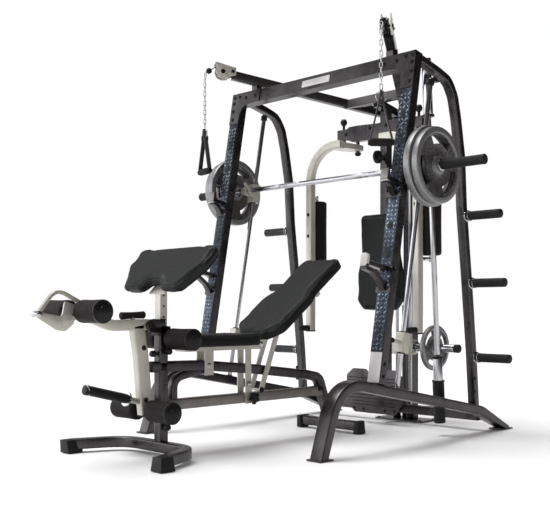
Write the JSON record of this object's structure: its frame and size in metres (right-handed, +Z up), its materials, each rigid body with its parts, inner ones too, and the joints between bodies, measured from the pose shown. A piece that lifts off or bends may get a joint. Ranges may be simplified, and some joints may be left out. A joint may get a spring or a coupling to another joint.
{
  "type": "smith machine",
  "caption": "Home smith machine with a guided bar on leaning uprights, cable crossover arms, pec arms and an adjustable bench with leg developer.",
  "frame": {"origin": "centre of the bounding box at floor level", "axes": "+X along the bar to the right, +Y from the bench to the cable mast, +Z up"},
  "size_m": [2.07, 2.651, 2.12],
  "materials": {
    "charcoal": "satin charcoal paint",
    "champagne": "champagne metallic paint",
    "chrome": "polished chrome",
    "iron": "hammered grey",
    "rubber": "matte black",
    "foam": "foam sleeve",
    "vinyl": "stitched black vinyl",
    "webbing": "black webbing"
  },
  "bodies": {
    "frame": {"base_left": "charcoal", "upright_left": "charcoal", "guide_rod_left": "chrome", "crossover_left": "charcoal", "base_right": "charcoal", "upright_right": "charcoal", "guide_rod_right": "chrome", "crossover_right": "charcoal", "top_crossbar": "charcoal", "cross_tube": "charcoal", "mast": "charcoal", "footplate": "charcoal", "pec_bracket": "charcoal", "back_pad": "vinyl", "carriage_rod_left": "chrome", "carriage_rod_right": "chrome", "rear_tube_left": "charcoal", "rear_tube_right": "charcoal", "barbell_holder": "rubber"},
    "sliders": {"slider_left": "champagne", "slider_right": "champagne"},
    "bar": {"smith_bar": "chrome", "inner_plate_left": "iron", "inner_plate_right": "iron", "outer_plate_left": "iron", "outer_plate_right": "iron"},
    "stopper_left": {"stopper_left": "champagne"},
    "spotter_left": {"spotter_arm_left": "charcoal"},
    "hook_left": {"j_hook_left": "charcoal"},
    "pec_left": {"pec_arm_left": "champagne"},
    "pec_roller_left": {"pec_roller_left": "foam"},
    "wheel_left": {"pulley_left": "rubber"},
    "pull_left": {"pull_left": "webbing"},
    "stopper_right": {"stopper_right": "champagne"},
    "spotter_right": {"spotter_arm_right": "charcoal"},
    "hook_right": {"j_hook_right": "charcoal"},
    "pec_right": {"pec_arm_right": "champagne"},
    "pec_roller_right": {"pec_roller_right": "foam"},
    "wheel_right": {"pulley_right": "rubber"},
    "pull_right": {"pull_right": "webbing"},
    "carriage": {"weight_carriage": "champagne", "stack_plate": "iron"},
    "barbell": {"stored_barbell": "chrome"},
    "bench": {"bench_frame": "charcoal", "seat_frame": "champagne", "seat_pad": "vinyl"},
    "backrest": {"backrest_frame": "champagne", "backrest_pad": "vinyl"},
    "strut": {"back_strut": "champagne"},
    "curl": {"curl_post": "champagne", "curl_pad": "vinyl"},
    "leg": {"leg_developer": "champagne"},
    "front_rollers": {"front_roller_left": "foam", "front_roller_right": "foam"},
    "low_rollers": {"low_roller_left": "foam", "low_roller_right": "foam"},
    "thigh_rollers": {"thigh_roller_left": "foam", "thigh_roller_right": "foam"}
  },
  "joints": [
    {"name": "smith_slide", "type": "slide", "parent": "frame", "child": "sliders", "axis": [0, 0.1788, 0.9839], "range_m": [-0.45, 0.4]},
    {"name": "bar_turn", "type": "hinge", "parent": "sliders", "child": "bar", "pos_m": [0, 0.4499, 1.3848], "axis": [1, 0, 0], "range_deg": [-90, 20]},
    {"name": "stopper_left_slide", "type": "slide", "parent": "frame", "child": "stopper_left", "axis": [0, 0.1788, 0.9839], "range_m": [-0.155, 0.3]},
    {"name": "spotter_left_slide", "type": "slide", "parent": "frame", "child": "spotter_left", "axis": [0, 0.1788, 0.9839], "range_m": [-0.286, 0.143]},
    {"name": "hook_left_slide", "type": "slide", "parent": "frame", "child": "hook_left", "axis": [0, 0.1788, 0.9839], "range_m": [-0.143, 0.429]},
    {"name": "pec_left_swing", "type": "hinge", "parent": "frame", "child": "pec_left", "pos_m": [-0.17, 0.9585, 1.65], "axis": [0, 0, 1], "range_deg": [-20, 50]},
    {"name": "pec_roller_left_spin", "type": "hinge", "parent": "pec_left", "child": "pec_roller_left", "pos_m": [-0.425, 0.8705, 1.155], "axis": [0, 0, 1], "continuous": true},
    {"name": "wheel_left_spin", "type": "hinge", "parent": "frame", "child": "wheel_left", "pos_m": [-0.607, 0.2495, 2.062], "axis": [-0.8492, 0.5281, 0], "continuous": true},
    {"name": "pull_left_swing", "type": "hinge", "parent": "frame", "child": "pull_left", "pos_m": [-0.649, 0.1505, 2.062], "axis": [1, 0, 0], "range_deg": [-60, 8]},
    {"name": "stopper_right_slide", "type": "slide", "parent": "frame", "child": "stopper_right", "axis": [0, 0.1788, 0.9839], "range_m": [-0.155, 0.3]},
    {"name": "spotter_right_slide", "type": "slide", "parent": "frame", "child": "spotter_right", "axis": [0, 0.1788, 0.9839], "range_m": [-0.286, 0.143]},
    {"name": "hook_right_slide", "type": "slide", "parent": "frame", "child": "hook_right", "axis": [0, 0.1788, 0.9839], "range_m": [-0.143, 0.429]},
    {"name": "pec_right_swing", "type": "hinge", "parent": "frame", "child": "pec_right", "pos_m": [0.17, 0.9585, 1.65], "axis": [0, 0, 1], "range_deg": [-50, 20]},
    {"name": "pec_roller_right_spin", "type": "hinge", "parent": "pec_right", "child": "pec_roller_right", "pos_m": [0.425, 0.8705, 1.155], "axis": [0, 0, 1], "continuous": true},
    {"name": "wheel_right_spin", "type": "hinge", "parent": "frame", "child": "wheel_right", "pos_m": [0.607, 0.2495, 2.062], "axis": [0.8492, 0.5281, 0], "continuous": true},
    {"name": "pull_right_swing", "type": "hinge", "parent": "frame", "child": "pull_right", "pos_m": [0.649, 0.1505, 2.062], "axis": [1, 0, 0], "range_deg": [-60, 8]},
    {"name": "carriage_lift", "type": "slide", "parent": "frame", "child": "carriage", "axis": [0, 0, 1], "range_m": [0, 1.2]},
    {"name": "barbell_lift", "type": "slide", "parent": "frame", "child": "barbell", "axis": [0, -0.0639, 0.998], "range_m": [0, 0.15]},
    {"name": "bench_slide", "type": "slide", "parent": "frame", "child": "bench", "axis": [0, -1, 0], "range_m": [0, 0.6]},
    {"name": "backrest_tilt", "type": "hinge", "parent": "bench", "child": "backrest", "pos_m": [0, -0.0645, 0.496], "axis": [1, 0, 0], "range_deg": [-10, 10]},
    {"name": "strut_swing", "type": "hinge", "parent": "backrest", "child": "strut", "pos_m": [0, 0.0735, 0.587], "axis": [1, 0, 0], "range_deg": [-2, 2]},
    {"name": "curl_slide", "type": "slide", "parent": "bench", "child": "curl", "axis": [0, 0, 1], "range_m": [0, 0.1]},
    {"name": "leg_lift", "type": "hinge", "parent": "bench", "child": "leg", "pos_m": [0, -0.7475, 0.6], "axis": [1, 0, 0], "range_deg": [-40, 0]},
    {"name": "front_rollers_spin", "type": "hinge", "parent": "leg", "child": "front_rollers", "pos_m": [0, -1.1245, 0.667], "axis": [1, 0, 0], "continuous": true},
    {"name": "low_rollers_spin", "type": "hinge", "parent": "leg", "child": "low_rollers", "pos_m": [0, -0.7595, 0.214], "axis": [1, 0, 0], "continuous": true},
    {"name": "thigh_rollers_spin", "type": "hinge", "parent": "bench", "child": "thigh_rollers", "pos_m": [0, -0.6395, 0.538], "axis": [1, 0, 0], "continuous": true}
  ],
  "couplings": [
    {"joint": "strut_swing", "follows": "backrest_tilt", "ratio": 0.1}
  ]
}
